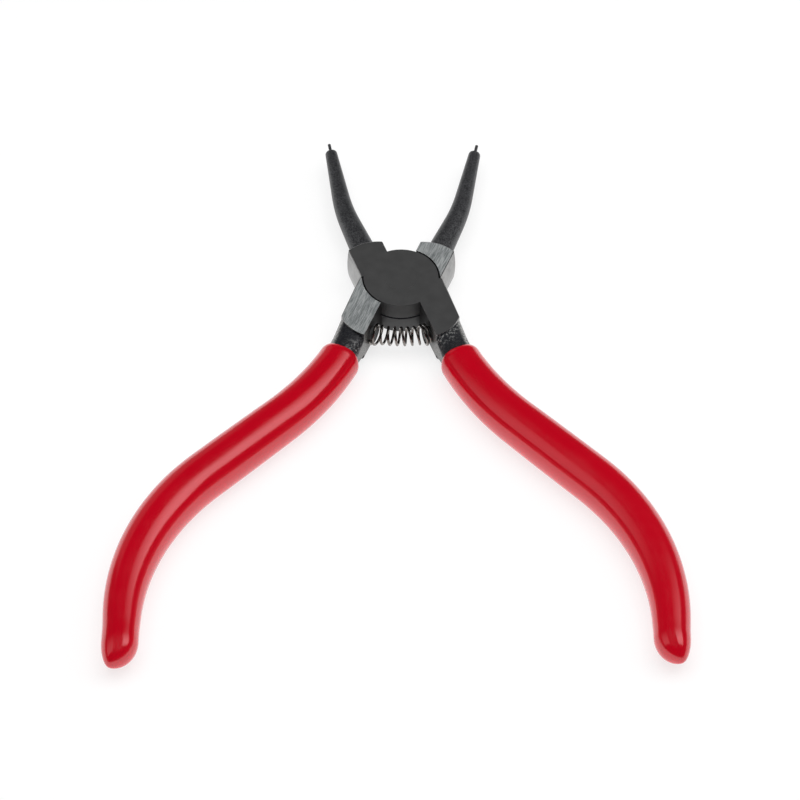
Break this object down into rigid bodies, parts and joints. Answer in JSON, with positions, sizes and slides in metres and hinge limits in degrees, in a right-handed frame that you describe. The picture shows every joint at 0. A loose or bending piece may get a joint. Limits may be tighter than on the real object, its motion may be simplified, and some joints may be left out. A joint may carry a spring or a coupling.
{
  "type": "internal circlip pliers",
  "caption": "Internal circlip pliers with straight tapered jaws, fine tip pins, a half-lapped rivet joint, a coil return spring and red dip-coated handles.",
  "frame": {"origin": "on the pivot axis, in the plane of the joint's back face", "axes": "+Z along the pivot towards the front face, +Y from the pivot towards the tips, +X to the right seen from the front"},
  "size_m": [0.1034, 0.1256, 0.0089],
  "materials": {
    "lever_steel": "forged tool steel, black oxide on the jaw, the tang and the disc's face, ground bright on the leg and the shoulder",
    "blackened_steel": "smooth satin black oxide, flush with the disc's face",
    "ground_steel": "ground tool steel with fine brush marks",
    "spring_steel": "dark polished spring wire",
    "red_dip": "glossy dipped soft PVC"
  },
  "bodies": {
    "rear_half": {"rear_lever": "lever_steel", "joint_rivet": "blackened_steel", "return_spring": "spring_steel", "left_spring_peg": "ground_steel", "left_grip": "red_dip", "right_tip_pin": "spring_steel"},
    "front_half": {"front_lever": "lever_steel", "right_spring_peg": "ground_steel", "right_grip": "red_dip", "left_tip_pin": "spring_steel"}
  },
  "joints": [
    {"name": "handle_squeeze", "type": "hinge", "parent": "rear_half", "child": "front_half", "pos_m": [0, 0, 0.00375], "axis": [0, 0, -1], "range_deg": [0, 28], "stiffness_Nm_per_rad": 0.3, "springref_deg": -8.59, "deforming": ["return_spring"]}
  ]
}
